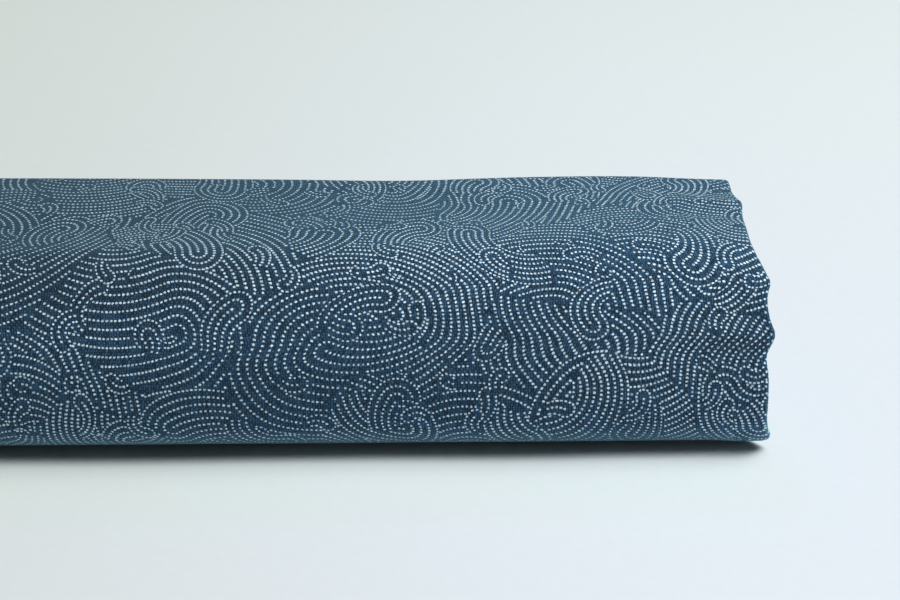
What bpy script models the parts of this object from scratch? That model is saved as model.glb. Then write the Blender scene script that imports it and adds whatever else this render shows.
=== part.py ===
"""Folded cotton cloth: one length of printed sheeting, lying as a flat soft-edged pack.

The cloth is folded in four across its width, so that each sheet of the pack stands for four
plies. The long strip that gives is folded back and forth, and the stack of runs is then turned
over once, so that every run goes round the front of the pack as a nested turn. The outermost
turn wraps the whole front, and all tight folds and both cut ends lie at the back.

Frame: metres, +Z up, X along the pack, the round front facing -Y. The origin is in the middle
of the underside.
"""

import math
from collections import namedtuple

import bmesh
import bpy

# Driving sizes
PACK_LENGTH = 0.280
PACK_DEPTH = 0.0500
PACK_HEIGHT = 0.0336
SHEET_THICKNESS = 0.0013
TURN_COUNT = 9

# Shape of the round front, from the outermost turn to the core
FRONT_PITCH = 0.00200
NOSE_HEIGHT_OUTER = 0.0106
NOSE_HEIGHT_CORE = PACK_HEIGHT / 2
LOWER_REACH_OUTER = 0.0088
UPPER_REACH_OUTER = 0.0168
REACH_CORE = 0.0010
LOWER_POWER = 2.0
UPPER_POWER_OUTER = 1.88
UPPER_POWER_CORE = 2.0

# The top falls a little towards the back, and the layers under it fall with it by their height
BACK_DROP = 0.0007

# The front stands proud in full above this share of the height, and less and less below it
TOE_HEIGHT = 0.20

# How finely the curves are divided
FRONT_STEPS_OUTER = 11
FRONT_STEPS_CORE = 4
LEG_STEPS = 3
FOLD_STEPS = 5

# One row for each turn, outermost first. back_fold is how far the tight fold that follows the
# turn stands in front of the back line; the last row's is the inner cut end. right_end and
# left_end are how far the turn stands back from the ends of the pack.
Turn = namedtuple("Turn", "back_fold right_end left_end")
TURNS = (
    Turn(back_fold=0.0000, right_end=0.0000, left_end=0.0004),
    Turn(back_fold=0.0011, right_end=0.0012, left_end=0.0013),
    Turn(back_fold=0.0006, right_end=0.0007, left_end=0.0000),
    Turn(back_fold=0.0019, right_end=0.0018, left_end=0.0016),
    Turn(back_fold=0.0009, right_end=0.0010, left_end=0.0021),
    Turn(back_fold=0.0023, right_end=0.0021, left_end=0.0009),
    Turn(back_fold=0.0014, right_end=0.0009, left_end=0.0018),
    Turn(back_fold=0.0020, right_end=0.0016, left_end=0.0006),
    Turn(back_fold=0.0042, right_end=0.0013, left_end=0.0014),
)
OUTER_CUT_END = 0.0016

# One row for each section along the pack, x as a share of its length. height and front are how
# far the top and the front stand proud of their mean; right and left are the shares of the end
# shifts it takes.
Station = namedtuple("Station", "x height front right left")
STATIONS = (
    Station(x=-0.500, height=-0.0006, front=-0.0003, right=0.0, left=1.0),
    Station(x=-0.457, height=-0.0001, front=0.0002, right=0.0, left=0.7),
    Station(x=-0.300, height=0.0005, front=0.0007, right=0.0, left=0.1),
    Station(x=-0.110, height=0.0003, front=0.0000, right=0.0, left=0.0),
    Station(x=0.040, height=0.0003, front=0.0008, right=0.0, left=0.0),
    Station(x=0.125, height=0.0001, front=-0.0005, right=0.0, left=0.0),
    Station(x=0.215, height=0.0000, front=0.0009, right=0.0, left=0.0),
    Station(x=0.280, height=-0.0003, front=0.0005, right=0.1, left=0.0),
    Station(x=0.370, height=0.0008, front=-0.0008, right=0.3, left=0.0),
    Station(x=0.440, height=0.0005, front=-0.0008, right=0.5, left=0.0),
    Station(x=0.478, height=-0.0003, front=0.0006, right=0.75, left=0.0),
    Station(x=0.500, height=-0.0007, front=0.0009, right=1.0, left=0.0),
)

# The uneven right edge of the outermost turn. run is the share of the turn's length from the
# underside over the front to the top; shift is how far the edge stands out.
EdgePoint = namedtuple("EdgePoint", "run shift")
RIGHT_EDGE = (
    EdgePoint(run=0.00, shift=-0.0006),
    EdgePoint(run=0.20, shift=0.0002),
    EdgePoint(run=0.30, shift=0.0011),
    EdgePoint(run=0.36, shift=0.0018),
    EdgePoint(run=0.40, shift=0.0011),
    EdgePoint(run=0.44, shift=0.0002),
    EdgePoint(run=0.51, shift=-0.0002),
    EdgePoint(run=0.54, shift=0.0000),
    EdgePoint(run=0.56, shift=0.0010),
    EdgePoint(run=0.59, shift=0.0003),
    EdgePoint(run=0.64, shift=0.0008),
    EdgePoint(run=0.68, shift=-0.0008),
    EdgePoint(run=0.73, shift=-0.0013),
    EdgePoint(run=0.80, shift=-0.0015),
    EdgePoint(run=0.84, shift=-0.0013),
    EdgePoint(run=0.88, shift=-0.0006),
    EdgePoint(run=0.95, shift=-0.0009),
    EdgePoint(run=1.00, shift=-0.0004),
)

CLOTH_COLOUR = (0.045, 0.095, 0.150, 1.0)
CLOTH_ROUGHNESS = 0.85
CLOTH_METALLIC = 0.0

# Worked out from the driving sizes
HALF_SHEET = SHEET_THICKNESS / 2
LEG_PITCH = (PACK_HEIGHT - SHEET_THICKNESS) / (2 * TURN_COUNT - 1)
BACK_LINE = PACK_DEPTH - HALF_SHEET - LEG_PITCH / 2


def clear_scene():
    """Removes whatever objects the file starts with."""
    for obj in list(bpy.data.objects):
        bpy.data.objects.remove(obj, do_unlink=True)


def blend(start, end, share):
    """The value a given share of the way from start to end."""
    return start + (end - start) * share


def quarter(centre, reach, rise, power, steps, lower):
    """A quarter superellipse in the section, from its flat end to the nose or back from it.

    The lower quarter runs from under the centre forward to the nose, the upper one from the
    nose back to over the centre.
    """
    points = []
    for step in range(1, steps + 1):
        angle = math.pi / 2 * step / steps
        if not lower:
            angle = math.pi / 2 - angle
        forward = reach * max(math.sin(angle), 0.0) ** (2 / power)
        away = rise * max(math.cos(angle), 0.0) ** (2 / power)
        points.append((centre[0] - forward, centre[1] + (-away if lower else away)))
    return points


def leg(start_y, end_y, z):
    """A flat run from one depth to another, with a few points between its ends."""
    return [(blend(start_y, end_y, step / LEG_STEPS), z) for step in range(LEG_STEPS + 1)]


def turn_section(index):
    """Middle line of one turn, from its low back end round the front to its high back end."""
    share = index / (TURN_COUNT - 1)
    low = HALF_SHEET + index * LEG_PITCH
    high = PACK_HEIGHT - HALF_SHEET - index * LEG_PITCH
    front = HALF_SHEET + index * FRONT_PITCH
    nose = blend(NOSE_HEIGHT_OUTER, NOSE_HEIGHT_CORE, share)
    upper_power = blend(UPPER_POWER_OUTER, UPPER_POWER_CORE, share)
    lower_reach = blend(LOWER_REACH_OUTER, REACH_CORE, share)
    upper_reach = blend(UPPER_REACH_OUTER, REACH_CORE, share)
    steps = round(blend(FRONT_STEPS_OUTER, FRONT_STEPS_CORE, share))

    low_back, high_back = back_ends(index)
    points = leg(low_back, front + lower_reach, low)
    points += quarter((front + lower_reach, nose), lower_reach, nose - low, LOWER_POWER, steps, True)
    points += quarter((front + upper_reach, nose), upper_reach, high - nose, upper_power, steps, False)
    points += leg(front + upper_reach, high_back, high)[1:]
    return points


def back_ends(index):
    """Depths at which a turn's low and high legs end; legs that share a fold end level."""
    after = BACK_LINE - TURNS[index].back_fold
    before = BACK_LINE - (TURNS[index - 1].back_fold if index else OUTER_CUT_END)
    runs_upwards = index % 2 == 0
    return (before, after) if runs_upwards else (after, before)


def back_fold(index, start, end):
    """Half circle at the back that joins the end of one turn to the start of the next."""
    radius = abs(end[1] - start[1]) / 2
    middle = (start[1] + end[1]) / 2
    points = []
    for step in range(1, FOLD_STEPS):
        angle = math.pi * step / FOLD_STEPS
        height = math.cos(angle) * (start[1] - middle)
        points.append((start[0] + math.sin(angle) * radius, middle + height))
    return points


def run_shares(points):
    """Share of the length reached at each point of a line."""
    lengths = [0.0]
    for first, second in zip(points, points[1:]):
        lengths.append(lengths[-1] + math.dist(first, second))
    return [length / lengths[-1] for length in lengths]


def edge_shift(share):
    """How far the outermost turn's right edge stands out at a share of its length."""
    for first, second in zip(RIGHT_EDGE, RIGHT_EDGE[1:]):
        if share <= second.run:
            part = (share - first.run) / (second.run - first.run)
            return blend(first.shift, second.shift, part)
    return RIGHT_EDGE[-1].shift


def cloth_line():
    """The whole middle line, outer cut end to inner, as (y, z, right shift, left shift)."""
    line = []
    for index, turn in enumerate(TURNS):
        points = turn_section(index)
        shares = run_shares(points)
        rows = []
        for point, share in zip(points, shares):
            right = edge_shift(share) if index == 0 else 0.0
            rows.append((point[0], point[1], right - turn.right_end, turn.left_end))
        if index % 2:
            rows.reverse()
        if line:
            previous = line[-1]
            following = rows[0]
            fold = back_fold(index, previous[:2], following[:2])
            for number, point in enumerate(fold, start=1):
                share = number / FOLD_STEPS
                right = blend(previous[2], following[2], share)
                left = blend(previous[3], following[3], share)
                line.append((point[0], point[1], right, left))
        line += rows
    return line


def place(row, station):
    """World position of one point of the middle line at one section of the pack."""
    y, z, right, left = row
    height_share = (z - HALF_SHEET) / (PACK_HEIGHT - SHEET_THICKNESS)
    front_share = max(0.0, 1.0 - y / BACK_LINE)
    toe = 1.0 - (1.0 - min(max(height_share / TOE_HEIGHT, 0.0), 1.0)) ** 2
    x = station.x * PACK_LENGTH + station.right * right + station.left * left
    drop = BACK_DROP * (y / BACK_LINE) ** 2
    return (
        x,
        y - station.front * front_share * toe,
        z + (station.height - drop) * height_share,
    )


def principled(name, colour, roughness, metallic):
    """A plain material of one colour."""
    material = bpy.data.materials.new(name)
    material.use_nodes = True
    shader = material.node_tree.nodes["Principled BSDF"]
    shader.inputs["Base Color"].default_value = colour
    shader.inputs["Roughness"].default_value = roughness
    shader.inputs["Metallic"].default_value = metallic
    return material


def stand_on_origin(obj):
    """Moves the mesh so that the finished solid stands on the origin by its underside."""
    evaluated = obj.evaluated_get(bpy.context.evaluated_depsgraph_get())
    corners = [vertex.co for vertex in evaluated.data.vertices]
    middle = [(min(c[axis] for c in corners) + max(c[axis] for c in corners)) / 2 for axis in (0, 1)]
    for vertex in obj.data.vertices:
        vertex.co.x -= middle[0]
        vertex.co.y -= middle[1]


def make_folded_cloth():
    """The pack: the middle surface carried along X, thickened to the sheet."""
    line = cloth_line()
    mesh = bpy.data.meshes.new("folded_cloth")
    work = bmesh.new()
    rows = [[work.verts.new(place(row, station)) for row in line] for station in STATIONS]
    for here, there in zip(rows, rows[1:]):
        for step in range(len(line) - 1):
            work.faces.new((here[step], here[step + 1], there[step + 1], there[step]))
    bmesh.ops.recalc_face_normals(work, faces=work.faces)
    work.to_mesh(mesh)
    work.free()

    cloth = bpy.data.objects.new("folded_cloth", mesh)
    bpy.context.scene.collection.objects.link(cloth)
    cloth.data.materials.append(principled("printed_cotton", CLOTH_COLOUR, CLOTH_ROUGHNESS, CLOTH_METALLIC))
    thickness = cloth.modifiers.new("sheet_thickness", "SOLIDIFY")
    thickness.thickness = SHEET_THICKNESS
    thickness.offset = 0.0
    thickness.use_even_offset = True
    bpy.context.view_layer.update()
    stand_on_origin(cloth)
    return cloth


clear_scene()
make_folded_cloth()
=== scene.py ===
"""Folded printed cotton: the looks of the folded_cloth solid.

One length of indigo sheeting, printed with rows of small pale dots, is folded in four across its
width and then back and forth into a flat pack with a round front. It is made here as one thin
closed cloth on the solid's folds, ply by ply, and lit on a plain pale table as in the
photograph. Sizes are in metres, and print sizes in millimetres.
"""

import math
from collections import namedtuple

import bpy
import numpy as np
from bpy.props import FloatProperty, FloatVectorProperty, PointerProperty
from bpy.types import Operator, Panel, PropertyGroup
from mathutils import Matrix, Vector


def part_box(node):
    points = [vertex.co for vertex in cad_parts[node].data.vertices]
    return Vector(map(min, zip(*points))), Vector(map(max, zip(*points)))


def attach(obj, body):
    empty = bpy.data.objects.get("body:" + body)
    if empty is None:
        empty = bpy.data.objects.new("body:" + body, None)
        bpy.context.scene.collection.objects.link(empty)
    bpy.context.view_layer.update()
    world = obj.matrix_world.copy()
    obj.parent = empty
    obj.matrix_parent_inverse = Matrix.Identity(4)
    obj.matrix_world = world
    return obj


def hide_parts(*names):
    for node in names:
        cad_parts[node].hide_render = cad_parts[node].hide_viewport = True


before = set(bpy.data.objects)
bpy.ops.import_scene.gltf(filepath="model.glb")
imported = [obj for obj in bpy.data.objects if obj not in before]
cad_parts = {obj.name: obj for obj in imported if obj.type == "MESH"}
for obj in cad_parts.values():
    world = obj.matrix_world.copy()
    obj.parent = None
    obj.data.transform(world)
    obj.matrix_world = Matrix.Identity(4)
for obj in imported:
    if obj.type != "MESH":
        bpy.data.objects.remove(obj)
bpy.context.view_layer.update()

bl_info = {
    "name": "Folded printed cotton",
    "version": (1, 0, 0),
    "blender": (4, 5, 0),
    "location": "3D View > Sidebar > Cloth",
    "description": "Builds a folded length of dot-printed cotton on its packed solid",
    "category": "Object",
}

NODE = "folded_cloth"
LOW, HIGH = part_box(NODE)

# The solid's own sizes, which the cloth follows
PACK_LENGTH = 0.280
PACK_DEPTH = 0.0500
PACK_HEIGHT = 0.0336
SHEET_THICKNESS = 0.0013
TURN_COUNT = 9
FRONT_PITCH = 0.00200
NOSE_HEIGHT_OUTER = 0.0106
NOSE_HEIGHT_CORE = PACK_HEIGHT / 2
LOWER_REACH_OUTER = 0.0088
UPPER_REACH_OUTER = 0.0168
REACH_CORE = 0.0010
LOWER_POWER = 2.0
UPPER_POWER_OUTER = 1.88
UPPER_POWER_CORE = 2.0
BACK_DROP = 0.0007
TOE_HEIGHT = 0.20
OUTER_CUT_END = 0.0016
HALF_SHEET = SHEET_THICKNESS / 2
LEG_PITCH = (PACK_HEIGHT - SHEET_THICKNESS) / (2 * TURN_COUNT - 1)
BACK_LINE = PACK_DEPTH - HALF_SHEET - LEG_PITCH / 2

# One row for each turn, outermost first: how far the tight fold after it stands in front of the
# back line, and how far the turn stands back from the pack's right and left ends
Turn = namedtuple("Turn", "back_fold right_end left_end")
TURNS = (
    Turn(0.0000, 0.0000, 0.0004),
    Turn(0.0011, 0.0012, 0.0013),
    Turn(0.0006, 0.0007, 0.0000),
    Turn(0.0019, 0.0018, 0.0016),
    Turn(0.0009, 0.0010, 0.0021),
    Turn(0.0023, 0.0021, 0.0009),
    Turn(0.0014, 0.0009, 0.0018),
    Turn(0.0020, 0.0016, 0.0006),
    Turn(0.0042, 0.0013, 0.0014),
)

# One row for each section along the pack, x as a share of its length: how far the top and the
# front stand proud there, how far the middle of the front bulges while the shoulder sinks, and
# how far the top slopes down to its front
Station = namedtuple("Station", "x height front bulge slope")
STATIONS = (
    Station(-0.500, -0.0006, -0.0003, 0.0000, 0.0004),
    Station(-0.457, -0.0001, 0.0002, 0.0001, 0.0006),
    Station(-0.300, 0.0005, 0.0007, 0.0002, 0.0010),
    Station(-0.110, 0.0003, 0.0006, -0.0001, 0.0018),
    Station(0.040, 0.0002, 0.0012, -0.0002, 0.0024),
    Station(0.125, 0.0000, 0.0013, 0.0000, 0.0022),
    Station(0.215, -0.0003, 0.0008, 0.0002, 0.0016),
    Station(0.280, -0.0006, 0.0004, 0.0004, 0.0010),
    Station(0.370, 0.0000, 0.0002, 0.0008, 0.0004),
    Station(0.440, 0.0000, -0.0006, 0.0011, 0.0001),
    Station(0.478, -0.0005, -0.0005, 0.0010, 0.0000),
    Station(0.500, -0.0007, -0.0004, 0.0009, 0.0000),
)

# The uneven right edge of the outermost turn, from the underside over the front to the top, finer
# than the solid's: the share of the turn's run, and how far the edge stands out there
EdgePoint = namedtuple("EdgePoint", "run shift")
RIGHT_EDGE = (
    EdgePoint(0.000, -0.00280),
    EdgePoint(0.180, -0.00280),
    EdgePoint(0.280, -0.00280),
    EdgePoint(0.318, -0.00260),
    EdgePoint(0.338, -0.00200),
    EdgePoint(0.358, 0.00030),
    EdgePoint(0.378, 0.00185),
    EdgePoint(0.405, 0.00118),
    EdgePoint(0.430, 0.00066),
    EdgePoint(0.460, 0.00062),
    EdgePoint(0.495, 0.00061),
    EdgePoint(0.532, 0.00050),
    EdgePoint(0.542, 0.00105),
    EdgePoint(0.556, 0.00168),
    EdgePoint(0.574, 0.00112),
    EdgePoint(0.600, 0.00062),
    EdgePoint(0.620, 0.00072),
    EdgePoint(0.638, 0.00125),
    EdgePoint(0.652, 0.00070),
    EdgePoint(0.672, 0.00003),
    EdgePoint(0.690, -0.00057),
    EdgePoint(0.712, -0.00095),
    EdgePoint(0.760, -0.00089),
    EdgePoint(0.830, -0.00051),
    EdgePoint(0.862, -0.00017),
    EdgePoint(0.889, 0.00022),
    EdgePoint(0.918, -0.00013),
    EdgePoint(0.950, -0.00041),
    EdgePoint(1.000, -0.00030),
)

# The soft ridges and troughs of the outermost turn: the middle of each, as x and as a share of the
# turn's run, its half length and half width, its slope on the flat cloth in degrees, its height.
# They fade out over a share of the run at the top's back and under the front.
Crease = namedtuple("Crease", "x run length width slope height")
CREASES = (
    # The pucker at the right end, with the hollow beneath it, and the ridge of the shoulder
    Crease(0.1385, 0.556, 0.0120, 0.0018, 2, 0.00060),
    Crease(0.1375, 0.527, 0.0110, 0.0020, 3, -0.00040),
    Crease(0.1395, 0.638, 0.0065, 0.0024, -14, 0.00030),
    # The lower corner, which flares
    Crease(0.1390, 0.372, 0.0050, 0.0022, 24, 0.00028),
    Crease(0.1350, 0.425, 0.0060, 0.0020, -30, -0.00018),
    # The top near the right end
    Crease(0.1380, 0.888, 0.0120, 0.0019, -5, 0.00042),
    Crease(0.1350, 0.832, 0.0130, 0.0024, 4, -0.00030),
    Crease(0.1370, 0.945, 0.0090, 0.0022, 8, -0.00026),
    # Broad swells of the top and the front
    Crease(0.1130, 0.780, 0.0260, 0.0060, 3, 0.00034),
    Crease(0.0930, 0.870, 0.0200, 0.0058, -24, -0.00028),
    Crease(0.0700, 0.800, 0.0180, 0.0055, 18, 0.00026),
    Crease(0.0460, 0.880, 0.0190, 0.0060, -30, 0.00030),
    Crease(0.0230, 0.800, 0.0170, 0.0060, 20, -0.00028),
    Crease(0.0040, 0.900, 0.0180, 0.0056, -6, 0.00032),
    Crease(0.1060, 0.500, 0.0240, 0.0050, 6, 0.00022),
    Crease(0.0800, 0.560, 0.0220, 0.0055, -12, -0.00024),
    Crease(0.0500, 0.520, 0.0240, 0.0060, 9, 0.00026),
    Crease(0.0200, 0.590, 0.0210, 0.0056, -8, -0.00024),
    Crease(-0.0180, 0.530, 0.0260, 0.0060, 7, 0.00026),
    Crease(-0.0380, 0.830, 0.0220, 0.0060, -16, -0.00026),
    Crease(-0.0700, 0.880, 0.0200, 0.0058, 14, 0.00030),
    Crease(-0.0820, 0.560, 0.0230, 0.0056, -10, -0.00024),
    Crease(-0.1120, 0.800, 0.0200, 0.0056, 12, 0.00026),
    Crease(-0.1280, 0.600, 0.0110, 0.0036, 6, 0.00030),
    Crease(-0.1360, 0.500, 0.0090, 0.0026, -4, -0.00024),
)
CREASE_START = 0.25
CREASE_FADE = 0.06

# The columns of the mesh. The ply that shows has them at these distances from its right end, then
# at an even step down to a share of its length, and then a number of them to its left end. A
# hidden ply has them at shares of its length, and each bend has its own steps.
NEAR_END = (
    0, 0.0004, 0.0009, 0.0015, 0.0022, 0.0030, 0.0040, 0.0052, 0.0066, 0.0082, 0.0100, 0.0120,
    0.0142, 0.0166,
)
SHOWN_COLUMN_STEP = 0.0030
SHOWN_SHARE = 0.52
LEFT_COLUMNS = 24
HIDDEN_PLY = (0, 0.03, 0.09, 0.18, 0.28, 0.39, 0.50, 0.61, 0.72, 0.82, 0.90, 0.95, 0.98, 1.0)
BEND_STEPS_OUTER = 8
BEND_STEPS_INNER = 6

# Dense steps from which the rows of the mesh are chosen
DENSE_LEG = 60
DENSE_QUARTER = 160
DENSE_FOLD = 40

# The rows of the mesh: the longest steps where the cloth shows, under it and inside, the shortest
# one, the angles that a step may turn in the outermost turn, in a tight fold and in the others,
# and over how many dense points the steps are evened out
SHOWN_ROW_STEP = 0.00090
UNDER_ROW_STEP = 0.0035
INNER_ROW_STEP = 0.0090
LEAST_ROW_STEP = 0.00025
OUTER_ROW_ANGLE = 0.20
FOLD_ROW_ANGLE = 0.40
INNER_ROW_ANGLE = 0.26
EVENED_POINTS = 9

# The charts of the map for baking: the left, lower, right and upper border of each, and how evenly
# its rows and columns are spread, from 0 for by their size to 1 for by their number
Chart = namedtuple("Chart", "left low right high evenly")
SHOWN_CHART = Chart(0.004, 0.004, 0.996, 0.470, 0.1)
FIRST_PLY_CHART = Chart(0.004, 0.476, 0.330, 0.600, 0.4)
LAST_PLIES_CHART = Chart(0.336, 0.476, 0.996, 0.600, 0.4)
INNER_TURNS_CHART = Chart(0.004, 0.606, 0.996, 0.860, 0.5)
WRONG_SIDE_CHART = Chart(0.004, 0.866, 0.996, 0.984, 0.5)
RIM_CHART = Chart(0.004, 0.9860, 0.996, 0.9884, 0.5)
RIM_STEP = 0.0032


class ClothSizes(PropertyGroup):
    """Sizes of the cloth itself."""

    width: FloatProperty(
        name="Width", description="Width of the cloth, selvedge to selvedge", default=1.12, unit="LENGTH"
    )
    length: FloatProperty(
        name="Length", description="Cut length of the cloth", default=0.81, unit="LENGTH"
    )
    thickness: FloatProperty(
        name="Thickness", description="Thickness of one ply", default=0.00028, unit="LENGTH"
    )
    ply_pitch: FloatProperty(
        name="Ply pitch", description="Distance between plies that lie on each other", default=0.00042,
        unit="LENGTH",
    )


class PrintLook(PropertyGroup):
    """Sizes and colours of the print and the weave."""

    # Painted shade: the colour in the hollows between the threads, where shade falls
    hollow: FloatVectorProperty(
        name="Hollow", description="Indigo between the threads", subtype="COLOR", size=3, min=0, max=1,
        default=(0.0013, 0.0090, 0.0205),
    )
    # With a painted highlight: the threads' colour where they stand highest
    ground: FloatVectorProperty(
        name="Ground", description="Indigo of the threads where they stand highest", subtype="COLOR",
        size=3, min=0, max=1, default=(0.0425, 0.1165, 0.2140),
    )
    ink: FloatVectorProperty(
        name="Ink", description="Pale colour of the dots", subtype="COLOR", size=3, min=0, max=1,
        default=(0.725, 0.890, 1.0),
    )
    dot: FloatProperty(name="Dot", description="Diameter of a dot, in millimetres", default=0.41)
    dot_spacing: FloatProperty(
        name="Dot spacing", description="Distance between dots along a row, in millimetres", default=0.730
    )
    row_spacing: FloatProperty(
        name="Row spacing", description="Usual distance between rows, in millimetres", default=1.29
    )
    patch: FloatProperty(
        name="Patch", description="Size of a fan of rows, in millimetres", default=24.0
    )
    warp_pitch: FloatProperty(
        name="Warp pitch", description="Distance between warp threads, in millimetres", default=0.42
    )
    weft_pitch: FloatProperty(
        name="Weft pitch", description="Distance between weft threads, in millimetres", default=0.46
    )


class StageLook(PropertyGroup):
    """The table, the light and the camera."""

    table: FloatVectorProperty(
        name="Table", description="Colour of the table top", subtype="COLOR", size=3, min=0, max=1,
        default=(0.612, 0.632, 0.664),
    )
    sky: FloatProperty(name="Sky", description="Strength of the even light", default=0.073)
    window: FloatProperty(
        name="Window", description="Power of the soft light on the right", default=29.9, unit="POWER"
    )
    ceiling: FloatProperty(
        name="Ceiling", description="Power of the long light behind it", default=13.7, unit="POWER"
    )
    card: FloatProperty(
        name="Card", description="Power of the weak light from the front", default=0.6, unit="POWER"
    )
    distance: FloatProperty(
        name="Distance", description="Camera to the place it looks at", default=0.360, unit="LENGTH"
    )
    elevation: FloatProperty(
        name="Elevation", description="Camera's height above the horizon", default=math.radians(23.2),
        unit="ROTATION",
    )
    heading: FloatProperty(
        name="Heading", description="Camera's turn about the pack, to its right", default=math.radians(-1.5),
        unit="ROTATION",
    )
    roll: FloatProperty(
        name="Roll", description="Camera's turn about its own line of sight", default=math.radians(0.249),
        unit="ROTATION",
    )
    lens: FloatProperty(name="Lens", description="Focal length for a 36 mm sensor", default=87.04)


def blend(start, end, share):
    """The value a given share of the way from start to end."""
    return start + (end - start) * share


def hermite(table_x, table_y, x):
    """A smooth curve through a table's points, with slopes from the neighbours on each side."""
    table_x, table_y = np.asarray(table_x, float), np.asarray(table_y, float)
    slopes = np.gradient(table_y, table_x)
    part = np.clip(np.searchsorted(table_x, x) - 1, 0, len(table_x) - 2)
    width = table_x[part + 1] - table_x[part]
    t = np.clip((x - table_x[part]) / width, 0, 1)
    start, end = table_y[part], table_y[part + 1]
    rise, settle = slopes[part] * width, slopes[part + 1] * width
    return (
        (2 * t**3 - 3 * t**2 + 1) * start
        + (t**3 - 2 * t**2 + t) * rise
        + (3 * t**2 - 2 * t**3) * end
        + (t**3 - t**2) * settle
    )


def quarter(centre_y, centre_z, reach, rise, power, lower):
    """Dense points of a quarter superellipse: |y / reach|^power + |z / rise|^power = 1."""
    angle = np.linspace(0, math.pi / 2, DENSE_QUARTER + 1)[1:]
    if not lower:
        angle = math.pi / 2 - angle
    forward = reach * np.clip(np.sin(angle), 0, 1) ** (2 / power)
    away = rise * np.clip(np.cos(angle), 0, 1) ** (2 / power)
    return np.stack([centre_y - forward, centre_z + (-away if lower else away)], 1)


def leg(start_y, end_y, z):
    """Dense points of a flat run from one depth to another."""
    y = np.linspace(start_y, end_y, DENSE_LEG + 1)
    return np.stack([y, np.full_like(y, z)], 1)


def back_ends(index):
    """Depths at which a turn's low and high runs end; runs that share a fold end level."""
    after = BACK_LINE - TURNS[index].back_fold
    before = BACK_LINE - (TURNS[index - 1].back_fold if index else OUTER_CUT_END)
    return (before, after) if index % 2 == 0 else (after, before)


def turn_section(index):
    """Middle line of one turn, from its low back end round the front to its high back end."""
    share = index / (TURN_COUNT - 1)
    low = HALF_SHEET + index * LEG_PITCH
    high = PACK_HEIGHT - HALF_SHEET - index * LEG_PITCH
    front = HALF_SHEET + index * FRONT_PITCH
    nose = blend(NOSE_HEIGHT_OUTER, NOSE_HEIGHT_CORE, share)
    lower_reach = blend(LOWER_REACH_OUTER, REACH_CORE, share)
    upper_reach = blend(UPPER_REACH_OUTER, REACH_CORE, share)
    upper_power = blend(UPPER_POWER_OUTER, UPPER_POWER_CORE, share)
    low_back, high_back = back_ends(index)
    return np.concatenate(
        [
            leg(low_back, front + lower_reach, low),
            quarter(front + lower_reach, nose, lower_reach, nose - low, LOWER_POWER, True),
            quarter(front + upper_reach, nose, upper_reach, high - nose, upper_power, False),
            leg(front + upper_reach, high_back, high)[1:],
        ]
    )


def path_length(points):
    """Length reached at each point of a line."""
    return np.concatenate([[0.0], np.cumsum(np.linalg.norm(np.diff(points, axis=0), axis=1))])


def fold_line():
    """The strip's whole middle line, outer cut end to inner, as dense arrays.

    Gives the points, how far the right and left ends stand back at each, and the turn that each
    belongs to, with the folds at the back counted as halves between two turns.
    """
    points, right, left, turn = [], [], [], []
    edge_run = [point.run for point in RIGHT_EDGE]
    edge_out = [point.shift for point in RIGHT_EDGE]
    for index, row in enumerate(TURNS):
        line = turn_section(index)
        run = path_length(line)
        back = np.full(len(line), row.right_end)
        if index == 0:
            back -= hermite(edge_run, edge_out, run / run[-1])
        if index % 2:
            line, back = line[::-1], back[::-1]
        if points:
            start, end = points[-1][-1], line[0]
            angle = np.linspace(0, math.pi, DENSE_FOLD + 1)[1:-1]
            share = angle / math.pi
            middle, radius = (start + end) / 2, abs(end[1] - start[1]) / 2
            out = start[0] + np.sin(angle) * radius
            height = middle[1] + np.cos(angle) * (start[1] - middle[1])
            points.append(np.stack([out, height], 1))
            right.append(blend(right[-1][-1], back[0], share))
            left.append(blend(left[-1][-1], row.left_end, share))
            turn.append(np.full(len(angle), index - 0.5))
        points.append(line)
        right.append(back)
        left.append(np.full(len(line), row.left_end))
        turn.append(np.full(len(line), float(index)))
    return np.concatenate(points), np.concatenate(right), np.concatenate(left), np.concatenate(turn)


def choose_rows(points, turn):
    """Places along the dense line for the rows of the mesh: close in bends, wide on flat runs.

    The step allowed at a point is an angle times the bend's radius, held between a least and a
    most, and the rows are equally spaced in the running sum of length over step.
    """
    run = path_length(points)
    heading = np.unwrap(np.arctan2(np.gradient(points[:, 1], run), np.gradient(points[:, 0], run)))
    bend = np.abs(np.gradient(heading, run))
    outer = turn == 0
    most = np.where(outer, SHOWN_ROW_STEP, INNER_ROW_STEP)
    under = outer & (points[:, 1] < HALF_SHEET * 1.01)
    most = np.where(under, UNDER_ROW_STEP, most)
    angle = np.where(turn % 1 > 0, FOLD_ROW_ANGLE, INNER_ROW_ANGLE)
    angle = np.where(outer, OUTER_ROW_ANGLE, angle)
    step = np.clip(angle / np.maximum(bend, 1e-6), LEAST_ROW_STEP, most)
    padded = np.pad(np.log(step), EVENED_POINTS // 2, mode="edge")
    step = np.exp(np.convolve(padded, np.ones(EVENED_POINTS) / EVENED_POINTS, mode="valid"))
    total = np.concatenate([[0.0], np.cumsum(np.diff(run) / ((step[1:] + step[:-1]) / 2))])
    count = int(round(total[-1]))
    return np.interp(np.linspace(0, total[-1], count + 1), total, run), run


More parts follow.
